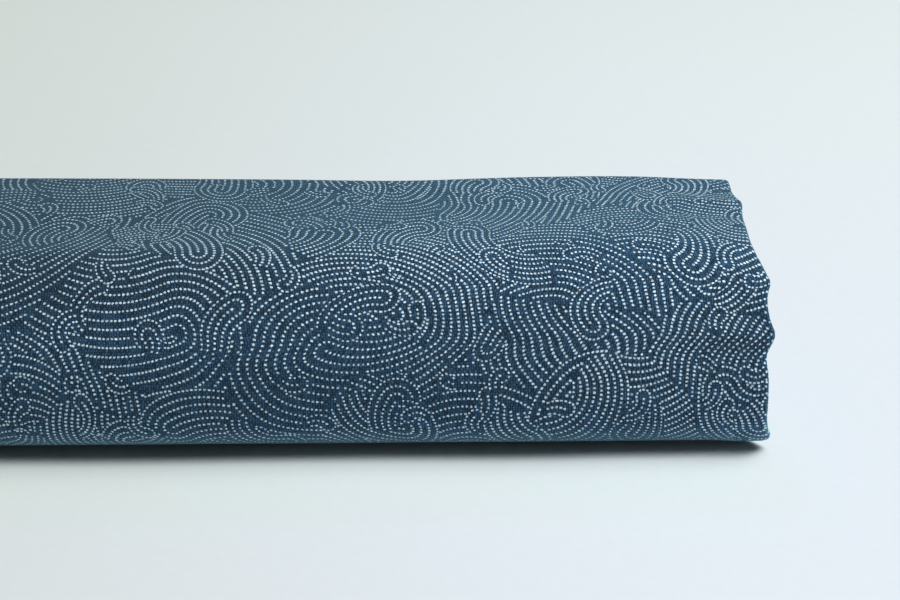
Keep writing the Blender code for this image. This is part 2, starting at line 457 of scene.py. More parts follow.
def width_line(pitch):
    """The cloth's way across the pack, folded in four.

    The path runs from one selvedge along the innermost ply to the right end, round the outer
    bend, back along the outermost ply, round the left bend and to the right end again, round
    the inner bend and back to the other selvedge. Each point has a share of the way from left
    to right, a distance past that end, and an offset from the sheet's middle. Gives the three,
    and the first and last column of the outermost ply.
    """
    # The four plies lie half a pitch and one and a half from the sheet's middle
    near, far = 1.5 * pitch, 0.5 * pitch
    fine = 1 - np.array(NEAR_END) / PACK_LENGTH
    step = SHOWN_COLUMN_STEP / PACK_LENGTH
    fine = np.concatenate([fine, np.arange(fine[-1] - step, SHOWN_SHARE, -step)])
    fine = np.concatenate([fine, np.linspace(fine[-1], 0, LEFT_COLUMNS + 1)[1:]])
    rough = np.array(HIDDEN_PLY)
    share, past, offset = [], [], []

    def run(shares, level):
        share.append(shares)
        past.append(np.zeros_like(shares))
        offset.append(np.full_like(shares, level))

    def bend(end, start, stop, steps):
        angle = np.linspace(0, math.pi, steps + 1)[1:-1]
        middle, radius = (start + stop) / 2, (stop - start) / 2
        share.append(np.full_like(angle, end))
        past.append(np.sin(angle) * abs(radius) * (1 if end else -1))
        offset.append(middle - np.cos(angle) * radius)

    run(rough, -near)
    bend(1.0, -near, near, BEND_STEPS_OUTER)
    run(fine, near)
    bend(0.0, near, far, BEND_STEPS_INNER)
    run(rough, far)
    bend(1.0, far, -far, BEND_STEPS_INNER)
    run(rough[::-1], -far)
    first = len(rough) - 1
    last = first + BEND_STEPS_OUTER + len(fine) + BEND_STEPS_INNER - 1
    return np.concatenate(share), np.concatenate(past), np.concatenate(offset), (first, last)


def settle(x, y, z):
    """Moves points as the pack has settled: the top and front stand proud by the stations.

    The bulge is a sine wave over the height, which goes forward most at a fifth of it and back
    most at seven tenths. All that goes forward fades out at the table and towards the back. The
    top sinks with the square of the depth, and towards its front by the slope.
    """
    table = [station.x * PACK_LENGTH for station in STATIONS]
    height = hermite(table, [station.height for station in STATIONS], x)
    front = hermite(table, [station.front for station in STATIONS], x)
    bulge = hermite(table, [station.bulge for station in STATIONS], x)
    slope = hermite(table, [station.slope for station in STATIONS], x)
    high = np.clip((z - HALF_SHEET) / (PACK_HEIGHT - SHEET_THICKNESS), 0, None)
    forward = np.clip(1 - y / BACK_LINE, 0, None)
    toe = 1 - (1 - np.clip(high / TOE_HEIGHT, 0, 1)) ** 2
    wave = np.sin(np.clip(high, 0, 1) ** 0.85 * 2 * math.pi)
    drop = BACK_DROP * (y / BACK_LINE) ** 2 + slope * forward * high
    return x, y - (front * toe + bulge * wave) * forward, z + (height - drop) * high


def relief(x, place, end):
    """How far the outermost turn stands out, by its creases, at an x and a place along its run.

    Each crease is a Gaussian hill or hollow, longer than wide. A smooth step fades all of them
    out under the front and towards the first tight fold.
    """
    share = np.clip(place / end, 0, 1)
    height = np.zeros(np.broadcast(x, place).shape)
    for crease in CREASES:
        slope = math.radians(crease.slope)
        east, north = x - crease.x, (share - crease.run) * end
        along = (east * math.cos(slope) + north * math.sin(slope)) / crease.length
        across = (north * math.cos(slope) - east * math.sin(slope)) / crease.width
        height += crease.height * np.exp(-(along**2) - across**2)
    fade = np.clip((1 - share) / CREASE_FADE, 0, 1)
    fade = fade * np.clip((share - CREASE_START) / CREASE_FADE, 0, 1)
    return height * fade * fade * (3 - 2 * fade)


def grid_normals(points):
    """Unit normals of a grid of points, by the cross product of its two directions."""
    across = np.gradient(points, axis=1)
    along = np.gradient(points, axis=0)
    normal = np.cross(along, across)
    return normal / np.maximum(np.linalg.norm(normal, axis=2, keepdims=True), 1e-12)


def cloth_surface(sizes):
    """The cloth's middle surface as a grid of points, with its flat width and length there.

    A point is the middle line at its row, plus the line's normal times the column's offset,
    at the column's share of the way between the row's left and right ends. The part that shows
    is given as the number of the outermost turn's rows, and its outer ply's first and last
    column.
    """
    points, right, left, turn = fold_line()
    places, run = choose_rows(points, turn)
    row_turn = turn_of(places, run, turn)
    line = np.stack([np.interp(places, run, points[:, axis]) for axis in (0, 1)], 1)
    right, left = np.interp(places, run, right), np.interp(places, run, left)
    tangent = np.gradient(line, places, axis=0)
    tangent /= np.linalg.norm(tangent, axis=1, keepdims=True)
    normal = np.stack([-tangent[:, 1], tangent[:, 0]], 1)

    share, past, offset, outer_ply = width_line(sizes.ply_pitch)
    bulge = 1.5 * sizes.ply_pitch + sizes.thickness / 2
    x_right = (PACK_LENGTH / 2 - right - bulge)[:, None]
    x_left = (-PACK_LENGTH / 2 + left + bulge)[:, None]
    x = blend(x_left, x_right, share[None, :]) + past[None, :]
    offset_here = offset[None, :] + relief(x, places[:, None], places[row_turn == 0][-1])
    y = line[:, :1] + normal[:, :1] * offset_here
    z = line[:, 1:] + normal[:, 1:] * offset_here
    surface = np.stack(settle(x, y, z), 2)

    flat_x = share * (PACK_LENGTH - 2 * bulge) + past
    width = path_length(np.stack([flat_x, offset], 1))
    shown = (np.count_nonzero(row_turn == 0), outer_ply)
    return surface, width, places, shown


def turn_of(places, run, turn):
    """The turn that each row belongs to."""
    return turn[np.clip(np.searchsorted(run, places), 0, len(turn) - 1)]


def closed_cloth(surface, thickness):
    """Both faces of a thin cloth on a grid, and the faces that close its four edges.

    Each face of the cloth is the middle surface moved by half the thickness along its normal.
    Gives the vertices, the quads and, for each quad, 0 on the right side, 1 elsewhere.
    """
    rows, columns = surface.shape[:2]
    half = grid_normals(surface) * thickness / 2
    vertices = np.concatenate([(surface + half).reshape(-1, 3), (surface - half).reshape(-1, 3)])
    index = np.arange(rows * columns).reshape(rows, columns)
    under = index + rows * columns
    a, b, c, d = index[:-1, :-1], index[1:, :-1], index[1:, 1:], index[:-1, 1:]
    right_side = np.stack([a, b, c, d], 2).reshape(-1, 4)
    wrong_side = right_side[:, ::-1] + rows * columns
    rims = [
        np.stack([index[0, :-1], index[0, 1:], under[0, 1:], under[0, :-1]], 1),
        np.stack([index[-1, 1:], index[-1, :-1], under[-1, :-1], under[-1, 1:]], 1),
        np.stack([index[1:, 0], index[:-1, 0], under[:-1, 0], under[1:, 0]], 1),
        np.stack([index[:-1, -1], index[1:, -1], under[1:, -1], under[:-1, -1]], 1),
    ]
    quads = np.concatenate([right_side, wrong_side, *rims])
    side = np.ones(len(quads), np.int32)
    side[: len(right_side)] = 0
    return vertices, quads, side


def spread(values, low, high, evenly):
    """Places from low to high where rising values stand, moved towards even steps by a share."""
    share = (values - values[0]) / (values[-1] - values[0])
    return blend(low, high, blend(share, np.linspace(0, 1, len(values)), evenly))


def corners_in(chart, width, length):
    """The corners of the quads between some columns and rows, spread over a chart."""
    across = spread(width, chart.left, chart.right, chart.evenly)
    along = spread(length, chart.low, chart.high, chart.evenly)
    grid = np.stack(np.meshgrid(across, along), 2)
    return np.stack([grid[:-1, :-1], grid[1:, :-1], grid[1:, 1:], grid[:-1, 1:]], 2)


def bake_map(width, length, shown):
    """A map for baking, in which no two faces overlap: the corners of each of closed_cloth's quads.

    The outermost turn's outer ply fills the lower half, and the rest of the right side, the
    wrong side and the four rims lie above it.
    """
    turn_end, (first, last) = shown
    row_end, column_end = len(length) - 1, len(width) - 1
    right_side = np.zeros((row_end, column_end, 4, 2))
    for chart, low, high, left, right in (
        (SHOWN_CHART, 0, turn_end, first, last),
        (FIRST_PLY_CHART, 0, turn_end, 0, first),
        (LAST_PLIES_CHART, 0, turn_end, last, column_end),
        (INNER_TURNS_CHART, turn_end, row_end, 0, column_end),
    ):
        corners = corners_in(chart, width[left : right + 1], length[low : high + 1])
        right_side[low:high, left:right] = corners
    wrong_side = corners_in(WRONG_SIDE_CHART, width, length)
    charts = [right_side.reshape(-1, 4, 2), wrong_side.reshape(-1, 4, 2)[:, ::-1]]

    rims = ((width, True), (width, False), (length, False), (length, True))
    for number, (values, forward) in enumerate(rims):
        along = spread(values, RIM_CHART.left, RIM_CHART.right, RIM_CHART.evenly)
        start, end = (along[:-1], along[1:]) if forward else (along[1:], along[:-1])
        low = np.full_like(start, RIM_CHART.low + RIM_STEP * number)
        high = low + (RIM_CHART.high - RIM_CHART.low)
        charts.append(np.stack([start, low, end, low, end, high, start, high], 1).reshape(-1, 4, 2))
    return np.concatenate(charts)


def quad_mesh(name, vertices, quads):
    """A mesh of quads from whole arrays."""
    mesh = bpy.data.meshes.new(name)
    mesh.vertices.add(len(vertices))
    mesh.vertices.foreach_set("co", vertices.astype(np.float32).ravel())
    mesh.loops.add(quads.size)
    mesh.loops.foreach_set("vertex_index", quads.astype(np.int32).ravel())
    mesh.polygons.add(len(quads))
    mesh.polygons.foreach_set("loop_start", np.arange(0, quads.size, 4, dtype=np.int32))
    mesh.update(calc_edges=True)
    mesh.validate()
    return mesh


class Wire:
    """A socket that takes part in arithmetic: each operation adds its Math node."""

    def __init__(self, graph, socket):
        self.graph = graph
        self.socket = socket

    def __add__(self, other):
        return self.graph.math("ADD", self, other)

    __radd__ = __add__

    def __sub__(self, other):
        return self.graph.math("SUBTRACT", self, other)

    def __rsub__(self, other):
        return self.graph.math("SUBTRACT", other, self)

    def __mul__(self, other):
        return self.graph.math("MULTIPLY", self, other)

    __rmul__ = __mul__

    def __truediv__(self, other):
        return self.graph.math("DIVIDE", self, other)

    def __rtruediv__(self, other):
        return self.graph.math("DIVIDE", other, self)

    def __lt__(self, other):
        return self.graph.math("LESS_THAN", self, other)

    def __gt__(self, other):
        return self.graph.math("GREATER_THAN", self, other)


class Graph:
    """The node tree of one material, written as expressions."""

    def __init__(self, material):
        material.use_nodes = True
        self.tree = material.node_tree
        self.tree.nodes.clear()

    def node(self, kind, settings=None, inputs=None):
        """Adds a node, sets its settings and then its inputs, and gives its outputs by name."""
        node = self.tree.nodes.new(kind)
        for key, value in (settings or {}).items():
            setattr(node, key, value)
        for key, value in (inputs or {}).items():
            socket = node.inputs[key]
            if isinstance(value, Wire):
                self.tree.links.new(value.socket, socket)
            else:
                socket.default_value = value
        return {socket.name: Wire(self, socket) for socket in node.outputs if socket.enabled}

    def math(self, operation, *values, clamp=False):
        """One Math node."""
        settings = {"operation": operation, "use_clamp": clamp}
        return self.node("ShaderNodeMath", settings, dict(enumerate(values)))["Value"]

    def vector(self, operation, *values):
        """One Vector Math node that gives a vector."""
        return self.node("ShaderNodeVectorMath", {"operation": operation}, dict(enumerate(values)))["Vector"]

    def scaled(self, vector, factor):
        """A vector or colour times a number."""
        inputs = {"Vector": vector, "Scale": factor}
        return self.node("ShaderNodeVectorMath", {"operation": "SCALE"}, inputs)["Vector"]

    def parts(self, vector):
        """The X, Y and Z of a vector."""
        out = self.node("ShaderNodeSeparateXYZ", None, {0: vector})
        return out["X"], out["Y"], out["Z"]

    def join(self, x, y, z=0.0):
        """A vector from numbers."""
        return self.node("ShaderNodeCombineXYZ", None, {0: x, 1: y, 2: z})["Vector"]

    def smooth(self, value, low, high):
        """A soft step from 0 to 1 as value goes from low to high."""
        inputs = {"Value": value, "From Min": low, "From Max": high, "To Min": 0.0, "To Max": 1.0}
        return self.node("ShaderNodeMapRange", {"interpolation_type": "SMOOTHSTEP"}, inputs)["Result"]

    def mix(self, share, first, second):
        """A colour between two colours."""
        inputs = {0: share, 6: first, 7: second}
        return self.node("ShaderNodeMix", {"data_type": "RGBA"}, inputs)["Result"]

    def between(self, share, first, second):
        """A vector between two vectors."""
        inputs = {0: share, 4: first, 5: second}
        return self.node("ShaderNodeMix", {"data_type": "VECTOR"}, inputs)["Result"]

    def pick(self, share, first, second):
        """A number between two numbers."""
        return share * second + (1 - share) * first

    def noise(self, vector, scale, detail=0.0, roughness=0.5):
        """Noise in the plane: its value and its colour."""
        inputs = {"Vector": vector, "Scale": scale, "Detail": detail, "Roughness": roughness}
        out = self.node("ShaderNodeTexNoise", {"noise_dimensions": "2D"}, inputs)
        return out["Fac"], out["Color"]

    def surface(self, shader):
        """Ends the tree with a shader."""
        self.node("ShaderNodeOutputMaterial", None, {"Surface": shader["BSDF"]})


def opaque(colour, factor=1.0):
    """A colour with full alpha, made lighter or darker."""
    return tuple(min(channel * factor, 1.0) for channel in colour) + (1.0,)


def wandering(graph, place, size, amount, detail=0.0):
    """A place moved by soft noise of a given size, by up to about an amount, in millimetres."""
    drift = graph.vector("SUBTRACT", graph.noise(place, 1 / size, detail)[1], (0.5, 0.5, 0.5))
    return graph.vector("ADD", place, graph.vector("MULTIPLY", drift, (2 * amount, 2 * amount, 0.0)))


def chances(graph, cell):
    """Three random numbers that belong to a cell."""
    return graph.node("ShaderNodeTexWhiteNoise", {"noise_dimensions": "2D"}, {"Vector": cell})["Color"]


def further(graph, chance, times):
    """A further chance from one: what is left after the whole part when it is multiplied."""
    return graph.math("FRACT", chance * times)


# The plumes of dotted rows that lie over each other, lowest first: the spacing of their grid and
# their least and greatest radius in millimetres, the share of the grid's cells that hold one,
# and the distance between their rows
Plume = namedtuple("Plume", "grid least most held pitch")
PLUMES = (
    Plume(grid=44.0, least=14.0, most=21.0, held=0.80, pitch=1.40),
    Plume(grid=30.0, least=9.5, most=14.2, held=0.84, pitch=1.38),
    Plume(grid=20.0, least=6.0, most=9.4, held=0.80, pitch=1.34),
    Plume(grid=13.0, least=3.6, most=6.0, held=0.74, pitch=1.28),
    Plume(grid=8.6, least=2.1, most=3.8, held=0.50, pitch=1.20),
)

# How much a plume's tail narrows, the room that a dot's middle keeps inside its own plume and its
# patch, outside a higher plume and beside the line where half rings meet, and the least ring
TAPER = 0.26
EDGE_ROOM = 0.12
PATCH_ROOM = 0.20
COVER_ROOM = 0.27
SEAM_ROOM = 0.28
LEAST_RING = 0.33

# How the whole print bends and how the patches' borders wander, as the size of the swings and
# their reach, over which short way the bend is measured, and how ragged the dots' edges are
FLOW_SIZE = 40.0
FLOW_REACH = 3.2
BORDER_SIZE = 12.0
BORDER_REACH = 2.4
NUDGE = 0.5
RAGGED_GRAIN = 3.6
RAGGED = 0.20

# The width of a fan, which its patch alone bounds, and the depth of a plume that isn't there
UNBOUNDED = 999.0
ABSENT = 9.0


def ring_place(graph, x, y, curve, bend):
    """Where a place is among a plume's rows, from its offset to the plume's focus.

    To the right of the focus the rows run round a middle that stands the curve's radius above
    it, and to the left, as half rings, round the focus. Gives 1 on the right side, the height
    of the rows' middle, the place's distance from it and angle round it, and how narrow the
    rows are there.
    """
    right = x > 0.0
    middle = curve * right
    down = middle - y
    distance = graph.math("SQRT", x * x + down * down)
    angle = graph.math("ARCTAN2", graph.math("ABSOLUTE", x), down)
    narrow = 1.0 - TAPER * right * angle / bend
    return right, middle, distance, angle, narrow


def depth_in(graph, x, y, curve, bend, width):
    """How far inside a plume's outline a place is: below nothing outside it."""
    right, middle, distance, angle, narrow = ring_place(graph, x, y, curve, bend)
    aside = graph.math("ABSOLUTE", distance - middle)
    from_tail = (bend - angle * right) * curve - aside * 0.35
    return graph.math("MINIMUM", width - aside / narrow, from_tail)


def turned(graph, x, y, cosine, sine):
    """A plane offset turned back by an angle, given by its cosine and sine."""
    return x * cosine + y * sine, y * cosine - x * sine


def way(graph, turn, chance):
    """The cosine and sine of a heading, from one chance, and a hand, 1 or -1, from another."""
    heading = turn * (2 * math.pi)
    hand = graph.math("SIGN", further(graph, chance, 7.0) - 0.5)
    return graph.math("COSINE", heading), graph.math("SINE", heading), hand


def plume_at(graph, point, kind, level):
    """The plume of one kind whose cell holds a point.

    Cells are squares in rows, each row shifted by its own amount. A plume is a round head with
    a tail that bends away and narrows, and keeps inside its cell. Gives the point's offset from
    the focus, the curve's radius, the tail's bend, the width, which is below nothing where the
    cell holds none, the cosine and sine of its heading, its hand and its own chance.
    """
    x, y, _ = graph.parts(point)
    up = y * (1 / kind.grid) + 0.37 * level
    row = graph.math("FLOOR", up)
    slide = graph.node(
        "ShaderNodeTexWhiteNoise", {"noise_dimensions": "1D"}, {"W": row + 31.0 * level}
    )["Value"]
    along = x * (1 / kind.grid) + slide
    column = graph.math("FLOOR", along)
    first, second, third = graph.parts(chances(graph, graph.join(column, row + 0.13 * level)))

    # Its reach, and its place with what room that leaves in the cell
    reach = further(graph, third, 17.0) * (kind.most - kind.least) + kind.least
    play = (kind.grid - 2 * COVER_ROOM) - 2 * reach
    east = (along - column - 0.5) * kind.grid - (first - 0.5) * play
    north = (up - row - 0.5) * kind.grid - (second - 0.5) * play

    # Its bend and how fat it is, and from them its curve and its width
    bend = further(graph, first, 23.0) * 1.5 + 0.8
    fat = further(graph, second, 29.0) * 0.40 + 0.45
    half_chord = graph.math("SINE", bend * 0.5)
    curve = reach / (half_chord + fat)
    rows = graph.math("FLOOR", curve * fat / kind.pitch)
    width = (third < kind.held) * (rows * kind.pitch + EDGE_ROOM + 0.02 + ABSENT) - ABSENT
    cosine, sine, hand = way(graph, further(graph, third, 41.0), first)
    local_x, local_y = turned(graph, east, north, cosine, sine)
    local_x = local_x + curve * half_chord * graph.math("COSINE", bend * 0.5)
    local_y = local_y * hand + curve * half_chord * half_chord
    return local_x, local_y, curve, bend, width, cosine, sine, hand, third


def flow(graph, point):
    """A place moved by the slow bend of the whole print."""
    return wandering(graph, point, FLOW_SIZE, FLOW_REACH)


def patches(graph, point, look, feature):
    """The broad patches under the plumes, as cells whose borders wander."""
    place = wandering(graph, point, BORDER_SIZE, BORDER_REACH, 1.0)
    return graph.node(
        "ShaderNodeTexVoronoi", {"voronoi_dimensions": "2D", "feature": feature},
        {"Vector": place, "Scale": 1 / look.patch, "Randomness": 1.0},
    )


def fan_at(graph, point, look):
    """The patch that holds a point, with rows that bend round a far middle or a focus.

    Gives three vectors and a chance: the point's offset from the focus and the curve's radius,
    the bend, width and pitch, and the cosine and sine of the heading and the hand.
    """
    cells = patches(graph, point, look, "F1")
    first, second, chance = graph.parts(cells["Color"])
    cosine, sine, hand = way(graph, first, first)
    east, north, _ = graph.parts(graph.vector("SUBTRACT", point, cells["Position"]))
    x, y = turned(graph, east, north, cosine, sine)

    # The focus lies off the patch's middle, and few of the curves are wide
    x = x + (chance - 0.15) * look.patch * 0.8
    y = y * hand + (second - 0.5) * look.patch * 0.7
    curve = (second * second * 0.9 + 0.35) * look.patch
    form = graph.join(math.pi, UNBOUNDED, second * 0.16 + look.row_spacing)
    return graph.join(x, y, curve), form, graph.join(cosine, sine, hand), chance


def distance_on_cloth(graph, place, bent, gap):
    """How long a short gap in the bent print is on the cloth, counted less across than along.

    What the bend makes of a short way east and a short way north are the columns of a matrix,
    and its inverse, by cross products, takes the gap back to the cloth.
    """
    def pull(nudge):
        moved = flow(graph, graph.vector("ADD", place, nudge))
        return graph.scaled(graph.vector("SUBTRACT", moved, bent), 1 / NUDGE)

    def area(first, second):
        return graph.parts(graph.vector("CROSS_PRODUCT", first, second))[2]

    east_pull, north_pull = pull((NUDGE, 0.0, 0.0)), pull((0.0, NUDGE, 0.0))
    stretch = area(east_pull, north_pull)
    east = area(gap, north_pull) / stretch
    north = area(east_pull, gap) / stretch
    return graph.math("SQRT", east * east * 0.90 + north * north * 1.12)


def whole_dot(graph, centre, dot, spot, form, level, look):
    """1 where the dot at a centre is whole: inside its plume or patch, clear of higher plumes."""
    curve = graph.parts(spot)[2]
    bend, width, _ = graph.parts(form)
    dot_x, dot_y, ring = graph.parts(dot)
    in_plume = depth_in(graph, dot_x, dot_y, curve, bend, width) > EDGE_ROOM
    room = patches(graph, centre, look, "DISTANCE_TO_EDGE")["Distance"] * look.patch
    in_patch = graph.math("MAXIMUM", room > PATCH_ROOM, level > 0.5)
    off_seam = graph.math("MAXIMUM", graph.math("ABSOLUTE", dot_x) > SEAM_ROOM, dot_y < curve)
    whole = in_plume * in_patch * off_seam * (ring > LEAST_RING)
    for number, kind in enumerate(PLUMES, start=1):
        x, y, curve, bend, width = plume_at(graph, centre, kind, number)[:5]
        clear = depth_in(graph, x, y, curve, bend, width) < -COVER_ROOM
        whole = whole * graph.math("MAXIMUM", clear, level > number - 0.5)
    return whole


def print_mask(graph, place, look):
    """The whole print as one mask: plumes of dotted rows that lie over each other and over fans.

    The highest plume that holds a place gives its rows, and the patch's fan where none does. A
    dot is drawn only where it is whole, so that none is cut.
    """
    bent = flow(graph, place)
    spot, form, lie, seed = fan_at(graph, bent, look)
    level = 0.0
    for number, kind in enumerate(PLUMES, start=1):
        x, y, curve, bend, width, cosine, sine, hand, chance = plume_at(graph, bent, kind, number)
        held = depth_in(graph, x, y, curve, bend, width) > 0.0
        spot = graph.between(held, spot, graph.join(x, y, curve))
        form = graph.between(held, form, graph.join(bend, width, kind.pitch))
        lie = graph.between(held, lie, graph.join(cosine, sine, hand))
        seed = graph.pick(held, seed, chance)
        level = graph.math("MAXIMUM", level, held * number)

    gap, dot, luck = nearest_dot(graph, spot, form, seed, look)
    cosine, sine, hand = graph.parts(lie)
    gap_x, gap_y, _ = graph.parts(gap)
    gap = graph.join(*turned(graph, gap_x, gap_y * hand, cosine, -1.0 * sine))
    ragged = (graph.noise(place, RAGGED_GRAIN, 1.0)[0] - 0.5) * RAGGED
    away = distance_on_cloth(graph, place, bent, gap) + ragged
    shown = whole_dot(graph, graph.vector("ADD", bent, gap), dot, spot, form, level, look)

    size, fullness, _ = graph.parts(luck)
    dot_radius = (0.72 + 0.26 * size + 0.34 * graph.noise(place, 0.045)[0]) * (look.dot / 2)
    return graph.smooth(away / dot_radius, 1.15, 0.75) * shown * (0.66 + 0.46 * fullness)


def nearest_dot(graph, spot, form, seed, look):
    """The dot nearest to a place in its plume's own plane.

    The row is the nearest whole number of pitches from the plume's middle line, and the dot the
    middle of the nearest whole step of the row's own length. A row on the tail closes in by an
    even share with the angle, so its length is a quadratic in the angle. Gives the way from the
    place to the dot, the dot with its ring's radius, and the dot's own chances.
    """
    x, y, curve = graph.parts(spot)
    bend, _, pitch = graph.parts(form)
    right, middle, distance, angle, narrow = ring_place(graph, x, y, curve, bend)
    row = graph.math("ROUND", (distance - middle) / (pitch * narrow))
    aside = row * pitch
    start = middle + aside
    close = aside * TAPER * right / bend
    run = (start - close * angle * 0.5) * angle
    half_ring = start * math.pi
    steps = graph.math("MAXIMUM", graph.math("ROUND", half_ring / look.dot_spacing), 1.0)
    row_luck = graph.parts(chances(graph, graph.join(seed * 97.0 + row, 7.5)))[0]
    spacing = graph.pick(right, half_ring / steps, (row_luck * 0.14 + 0.93) * look.dot_spacing)
    number = graph.math("FLOOR", run / graph.math("MAXIMUM", spacing, 0.01))
    run = (number + 0.5) * spacing
    root = graph.math("SQRT", graph.math("MAXIMUM", start * start - 2.0 * close * run, 0.0))
    angle = 2.0 * run / graph.math("MAXIMUM", start + root, 0.01)
    ring = start - close * angle
    side = graph.math("SIGN", x)
    dot_x = side * ring * graph.math("SINE", angle)
    dot_y = middle - ring * graph.math("COSINE", angle)
    luck = chances(graph, graph.join(seed * 97.0 + row, number + 500.0 * right))
    return graph.join(dot_x - x, dot_y - y), graph.join(dot_x, dot_y, ring), luck


def weave(graph, place, look):
    """Plain weave: how high the cloth stands, how much the warp shows and how high it is itself.

    Warp and weft threads are rounded across their width and rise and fall along their length
    as a sine, and at each crossing the higher of the two shows.
    """
    x, y, _ = graph.parts(place)
    across = x * (math.pi / look.warp_pitch)
    along = y * (math.pi / look.weft_pitch)
    warp_round = graph.math("ABSOLUTE", graph.math("SINE", across))
    weft_round = graph.math("ABSOLUTE", graph.math("SINE", along))
    over = graph.math("SINE", across) * graph.math("SINE", along)
    return warp_round * weft_round, over, warp_round


# Where the cloth's painted light and shade set in: the heights between which the top's and the foot's
# set in, and the places along X between which the left part's painted shade does
TOP_PAINTED_LIGHT_AND_SHADE = (0.021, 0.031)
FOOT_PAINTED_LIGHT = (0.014, 0.004)
WEST_PAINTED_SHADE = (0.115, 0.010)


def woven_ground(graph, place, look):
    """The indigo ground: its colour, how high the weave stands and how thick its threads are.

    The threads wander a little, their thickness changes along them as slubs, and each crossing
    has its own depth of dye, under broad soft clouds.
    """
    uneven = graph.noise(place, 0.9, 1.0)[1]
    thread_place = graph.vector("ADD", place, graph.vector("MULTIPLY", uneven, (0.34, 0.34, 0.0)))
    height, over, rib = weave(graph, thread_place, look)
    slub_warp = graph.noise(graph.vector("MULTIPLY", place, (3.2, 0.14, 0.0)), 1.0, 1.0)[0]
    slub_weft = graph.noise(graph.vector("MULTIPLY", place, (0.05, 2.2, 0.0)), 1.0, 2.0)[0]
    cloudy = graph.noise(place, 0.05, 3.0)[0]
    thread = graph.vector("MULTIPLY", thread_place, (1 / look.warp_pitch, 1 / look.weft_pitch, 0.0))
    speckle = graph.parts(chances(graph, graph.vector("FLOOR", thread)))[0]
    # The tone follows the weave's height as painted shade in the hollows and a painted highlight on the
    # crowns; the slubs, speckle and clouds are the dye's own
    tone = rib * 0.36 + height * 0.48 + over * 0.24 - 0.12
    tone = tone + (slub_warp - 0.5) * 0.32 + (slub_weft - 0.5) * 0.12 + (cloudy - 0.5) * 0.08
    tone = tone + (speckle - 0.5) * 0.50
    tone = graph.math("MULTIPLY", tone, 1.0, clamp=True)
    return graph.mix(tone, opaque(look.hollow), opaque(look.ground)), height, slub_warp + slub_weft


def cotton(name, look, printed):
    """Printed indigo cotton: a woven ground with slubs, dots of ink that sink into it, painted light and
    shade.
    """
    material = bpy.data.materials.new(name)
    graph = Graph(material)
    flat = graph.node("ShaderNodeUVMap", {"uv_map": "cloth"})["UV"]
    place = graph.scaled(flat, 1000.0)
    colour, height, slubs = woven_ground(graph, place, look)

    east, _, high = graph.parts(graph.node("ShaderNodeTexCoord")["Object"])
    top = graph.smooth(high, *TOP_PAINTED_LIGHT_AND_SHADE)
    foot = graph.smooth(high, *FOOT_PAINTED_LIGHT)
    west = graph.smooth(east, *WEST_PAINTED_SHADE)
    # Painted shade: the ground of the top darker towards the left
    colour = graph.scaled(colour, 1.0 - top * west * 0.26)
    if printed:
        soaked = graph.noise(place, 1.6, 2.0)[0]
        cover = print_mask(graph, place, look) * (0.80 + soaked * 0.36) * (0.76 + height * 0.34)
        colour = graph.mix(graph.math("MULTIPLY", cover, 1.0, clamp=True), colour, opaque(look.ink))
    else:
        colour = graph.mix(0.25, colour, opaque(look.ground, 0.9))
    # Painted light and shade: the top lighter to the right and darker to the left, the foot lighter and a
    # little bluer
    painted_light = 0.85 + top * (0.15 - 0.40 * west) + foot * (0.42 - 0.14 * west)
    colour = graph.vector("MULTIPLY", colour, graph.join(painted_light, painted_light, painted_light + foot * 0.08))
    colour = graph.vector("MINIMUM", colour, (1.0, 1.0, 1.0))

    bump = graph.node(
        "ShaderNodeBump", None, {"Strength": 0.35, "Distance": 0.00012, "Height": height + slubs * 0.5}
    )["Normal"]
    graph.surface(graph.node(
        "ShaderNodeBsdfPrincipled", None,
        {
            "Base Color": colour,
            "Roughness": 0.88 - height * 0.08,
            "Specular IOR Level": 0.18,
            "Sheen Weight": 0.90,
            "Sheen Roughness": 0.42,
            "Sheen Tint": (0.38, 0.78, 1.0, 1.0),
            "Normal": bump,
        },
    ))
    return material


class CLOTH_OT_folded_length(Operator):
    """Build the folded length of printed cotton on its solid"""

    bl_idname = "cloth.folded_length"
    bl_label = "Folded length"

    def execute(self, context):
        sizes = context.scene.cloth_sizes
        look = context.scene.cloth_print
        surface, width, length, shown = cloth_surface(sizes)
        vertices, quads, side = closed_cloth(surface, sizes.thickness)
        middle = (vertices.min(0) + vertices.max(0)) / 2
        vertices[:, :2] += np.array([(LOW.x + HIGH.x) / 2, (LOW.y + HIGH.y) / 2]) - middle[:2]
        vertices[:, 2] += LOW.z - vertices[:, 2].min()
        mesh = quad_mesh("printed_cloth", vertices, quads)
        mesh.polygons.foreach_set("material_index", side)
        mesh.shade_smooth()

        flat = np.stack(np.meshgrid(length, width, indexing="ij")[::-1], 2).reshape(-1, 2)
        flat = np.concatenate([flat, flat])
        layer = mesh.uv_layers.new(name="cloth", do_init=False)
        layer.uv.foreach_set("vector", flat[quads.ravel()].astype(np.float32).ravel())
        spare = mesh.uv_layers.new(name="OFBake", do_init=False)
        spare.uv.foreach_set("vector", bake_map(width, length, shown).astype(np.float32).ravel())
        mesh.uv_layers["cloth"].active_render = True

        cloth = bpy.data.objects.new("printed_cloth", mesh)
        context.scene.collection.objects.link(cloth)
        mesh.materials.append(cotton("printed_face", look, True))
        mesh.materials.append(cotton("wrong_side", look, False))
        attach(cloth, "root")
        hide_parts(NODE)
        return {"FINISHED"}


# The table's half side and its place under the cloth, the factors of its painted shade far to the left
# and of its painted shadow tint beside the cloth's front, and its painted light at the back
TABLE_REACH = 3.0
TABLE_GAP = 0.00005
LEFT_PAINTED_SHADE = (0.880, 0.856, 0.757)
NEAR_PAINTED_SHADOW = (0.975, 1.0, 0.955)
BACK_PAINTED_LIGHT = (0.666, 0.702, 0.650, 1.0)

